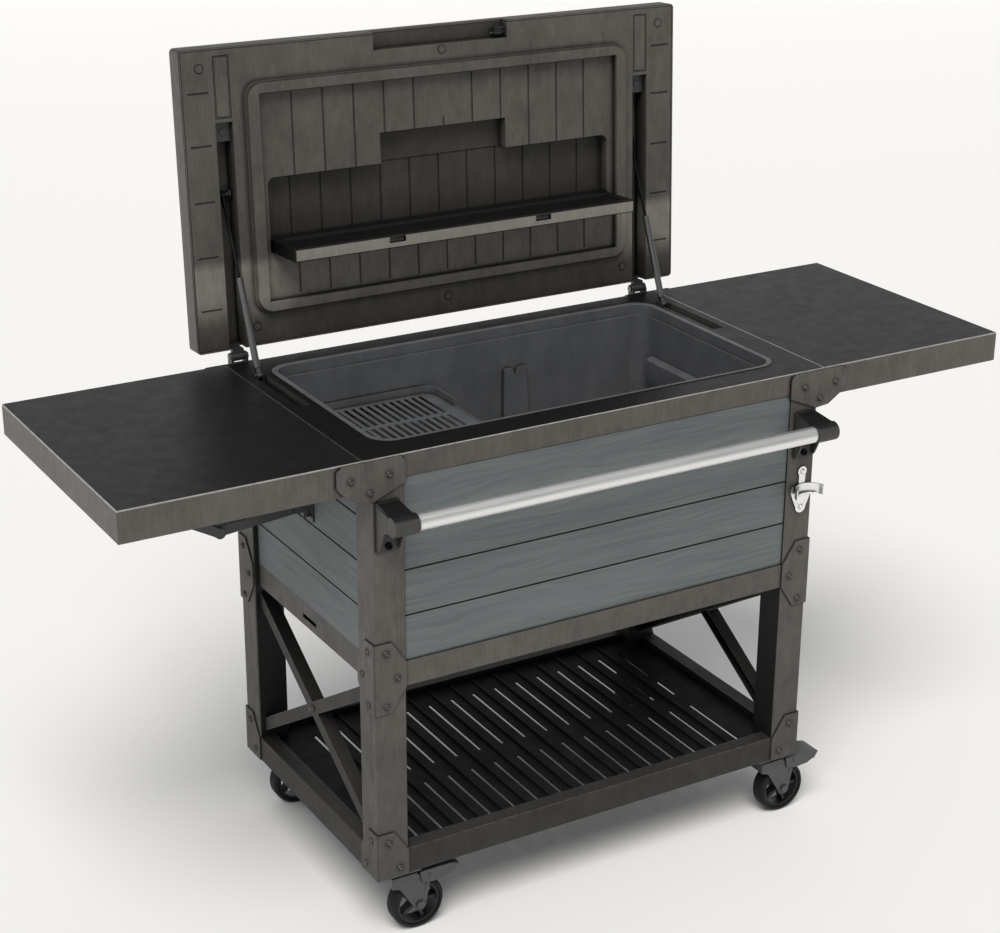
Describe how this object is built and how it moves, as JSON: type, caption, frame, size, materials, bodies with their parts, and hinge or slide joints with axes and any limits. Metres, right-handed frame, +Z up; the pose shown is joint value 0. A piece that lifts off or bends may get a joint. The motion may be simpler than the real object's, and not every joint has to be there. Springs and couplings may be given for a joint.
{
  "type": "patio cooler cart",
  "caption": "Wheeled patio cooler cart: boarded ice tub under a gas-strut lid with fold-out shelf, drop leaves on knee stays, towel handle, opener, open base rack.",
  "frame": {"origin": "on the floor, under the middle of the cart", "axes": "+Z up, +X along the long front to the right as seen from the front, -Y to the front, where the handle is"},
  "size_m": [1.813, 0.7197, 1.5194],
  "materials": {
    "frame_finish": "brushed brown-grey coating",
    "top_finish": "near-black satin coating",
    "board_finish": "blue-grey wood-grain boards",
    "lid_finish": "moulded with a brushed brown-grey look",
    "liner": "moulded grey resin",
    "black_steel": "black powder coating",
    "black_plastic": "moulded black",
    "foam_tub": "black outer tub",
    "bright_steel": "plated",
    "bolt_steel": "dark plated",
    "aluminium": "brushed",
    "opener": "polished",
    "tyre": "matte"
  },
  "bodies": {
    "cart": {"posts": "frame_finish", "deck": "top_finish", "panel_front": "board_finish", "panel_rear": "board_finish", "panel_sides": "board_finish", "lower_rails": "frame_finish", "base_rails": "frame_finish", "base_rack": "black_steel", "brace_bars": "frame_finish", "gussets": "frame_finish", "mid_plates": "frame_finish", "low_plates": "frame_finish", "plate_bolts": "bolt_steel", "handle_bar": "aluminium", "handle_brackets": "black_plastic", "front_screws": "bright_steel", "bottle_opener": "opener", "tub_liner": "liner", "tub_rests": "liner", "tub_shell": "foam_tub", "drain_plug": "black_plastic", "lid_hinge_brackets": "black_steel", "hinge_pins": "bolt_steel", "strut_feet": "black_steel", "leaf_hinge_plates": "black_steel", "stay_brackets": "black_steel", "caster_plates": "black_steel"},
    "lid": {"lid_shell": "lid_finish", "lid_liner": "lid_finish", "lid_plugs": "black_plastic", "lid_arms": "black_steel", "strut_heads": "black_steel", "shelf_pins": "bolt_steel"},
    "lid_latch": {"lid_latch": "black_plastic"},
    "lid_shelf": {"lid_shelf": "lid_finish"},
    "tray": {"tray": "liner"},
    "strut_tube_l": {"strut_tube_l": "black_steel"},
    "strut_rod_l": {"strut_rod_l": "bright_steel"},
    "strut_tube_r": {"strut_tube_r": "black_steel"},
    "strut_rod_r": {"strut_rod_r": "bright_steel"},
    "leaf_l": {"leaf_l": "top_finish"},
    "stay_low_l": {"stay_low_l": "black_steel"},
    "stay_up_l": {"stay_up_l": "black_steel"},
    "leaf_r": {"leaf_r": "top_finish"},
    "stay_low_r": {"stay_low_r": "black_steel"},
    "stay_up_r": {"stay_up_r": "black_steel"},
    "swivel_fl": {"fork_fl": "black_steel"},
    "roll_fl": {"wheel_fl": "black_plastic", "tyre_fl": "tyre"},
    "pedal_fl": {"pedal_fl": "black_plastic"},
    "swivel_fr": {"fork_fr": "black_steel"},
    "roll_fr": {"wheel_fr": "black_plastic", "tyre_fr": "tyre"},
    "pedal_fr": {"pedal_fr": "black_plastic"},
    "swivel_rl": {"fork_rl": "black_steel"},
    "roll_rl": {"wheel_rl": "black_plastic", "tyre_rl": "tyre"},
    "swivel_rr": {"fork_rr": "black_steel"},
    "roll_rr": {"wheel_rr": "black_plastic", "tyre_rr": "tyre"}
  },
  "joints": [
    {"name": "lid_hinge", "type": "hinge", "parent": "cart", "child": "lid", "pos_m": [0, 0.2956, 0.9472], "axis": [1, 0, 0], "range_deg": [0, 92.68]},
    {"name": "shelf_fold", "type": "hinge", "parent": "lid", "child": "lid_shelf", "pos_m": [0, 0.3116, 1.14777], "axis": [-1, 0, 0], "range_deg": [0, 90]},
    {"name": "latch_turn", "type": "hinge", "parent": "lid", "child": "lid_latch", "pos_m": [0.127, 0.32635, 1.49496], "axis": [-1, 0, 0], "range_deg": [0, 25]},
    {"name": "tray_slide", "type": "slide", "parent": "cart", "child": "tray", "axis": [1, 0, 0], "range_m": [0, 0.14]},
    {"name": "strut_swing_l", "type": "hinge", "parent": "cart", "child": "strut_tube_l", "pos_m": [-0.448, 0.202, 0.937], "axis": [1, 0, 0], "range_deg": [0, 103.94]},
    {"name": "strut_stroke_l", "type": "slide", "parent": "strut_tube_l", "child": "strut_rod_l", "axis": [0, 0.3908, 0.9205], "range_m": [-0.12675, 0]},
    {"name": "strut_swing_r", "type": "hinge", "parent": "cart", "child": "strut_tube_r", "pos_m": [0.448, 0.202, 0.937], "axis": [1, 0, 0], "range_deg": [0, 103.94]},
    {"name": "strut_stroke_r", "type": "slide", "parent": "strut_tube_r", "child": "strut_rod_r", "axis": [0, 0.3908, 0.9205], "range_m": [-0.12675, 0]},
    {"name": "leaf_fold_l", "type": "hinge", "parent": "cart", "child": "leaf_l", "pos_m": [-0.48, 0, 0.883], "axis": [0, -1, 0], "range_deg": [0, 90]},
    {"name": "stay_low_turn_l", "type": "hinge", "parent": "cart", "child": "stay_low_l", "pos_m": [-0.478, 0, 0.762], "axis": [0, -1, 0], "range_deg": [0, 85.01]},
    {"name": "stay_up_turn_l", "type": "hinge", "parent": "leaf_l", "child": "stay_up_l", "pos_m": [-0.868, 0, 0.88], "axis": [0, -1, 0], "range_deg": [0, 29.42]},
    {"name": "leaf_fold_r", "type": "hinge", "parent": "cart", "child": "leaf_r", "pos_m": [0.48, 0, 0.883], "axis": [0, 1, 0], "range_deg": [0, 90]},
    {"name": "stay_low_turn_r", "type": "hinge", "parent": "cart", "child": "stay_low_r", "pos_m": [0.478, 0, 0.762], "axis": [0, 1, 0], "range_deg": [0, 85.01]},
    {"name": "stay_up_turn_r", "type": "hinge", "parent": "leaf_r", "child": "stay_up_r", "pos_m": [0.868, 0, 0.88], "axis": [0, 1, 0], "range_deg": [0, 29.42]},
    {"name": "swivel_fl", "type": "hinge", "parent": "cart", "child": "swivel_fl", "pos_m": [-0.414, -0.255, 0.117], "axis": [0, 0, 1], "continuous": true},
    {"name": "roll_fl", "type": "hinge", "parent": "swivel_fl", "child": "roll_fl", "pos_m": [-0.379, -0.255, 0.052], "axis": [0, 1, 0], "continuous": true},
    {"name": "pedal_fl", "type": "hinge", "parent": "swivel_fl", "child": "pedal_fl", "pos_m": [-0.361, -0.255, 0.112], "axis": [0, 1, 0], "range_deg": [0, 12]},
    {"name": "swivel_fr", "type": "hinge", "parent": "cart", "child": "swivel_fr", "pos_m": [0.414, -0.255, 0.117], "axis": [0, 0, 1], "continuous": true},
    {"name": "roll_fr", "type": "hinge", "parent": "swivel_fr", "child": "roll_fr", "pos_m": [0.449, -0.255, 0.052], "axis": [0, 1, 0], "continuous": true},
    {"name": "pedal_fr", "type": "hinge", "parent": "swivel_fr", "child": "pedal_fr", "pos_m": [0.467, -0.255, 0.112], "axis": [0, 1, 0], "range_deg": [0, 12]},
    {"name": "swivel_rl", "type": "hinge", "parent": "cart", "child": "swivel_rl", "pos_m": [-0.414, 0.255, 0.117], "axis": [0, 0, 1], "continuous": true},
    {"name": "roll_rl", "type": "hinge", "parent": "swivel_rl", "child": "roll_rl", "pos_m": [-0.379, 0.255, 0.052], "axis": [0, 1, 0], "continuous": true},
    {"name": "swivel_rr", "type": "hinge", "parent": "cart", "child": "swivel_rr", "pos_m": [0.414, 0.255, 0.117], "axis": [0, 0, 1], "continuous": true},
    {"name": "roll_rr", "type": "hinge", "parent": "swivel_rr", "child": "roll_rr", "pos_m": [0.449, 0.255, 0.052], "axis": [0, 1, 0], "continuous": true}
  ],
  "couplings": [
    {"joint": "strut_swing_l", "follows": "lid_hinge", "ratio": 1.1183},
    {"joint": "strut_stroke_l", "follows": "lid_hinge", "m_per_rad": -0.078112},
    {"joint": "strut_swing_r", "follows": "lid_hinge", "ratio": 1.1183},
    {"joint": "strut_stroke_r", "follows": "lid_hinge", "m_per_rad": -0.078112},
    {"joint": "stay_low_turn_l", "follows": "leaf_fold_l", "ratio": 0.94228},
    {"joint": "stay_up_turn_l", "follows": "leaf_fold_l", "ratio": 0.32466},
    {"joint": "stay_low_turn_r", "follows": "leaf_fold_r", "ratio": 0.94228},
    {"joint": "stay_up_turn_r", "follows": "leaf_fold_r", "ratio": 0.32466}
  ]
}
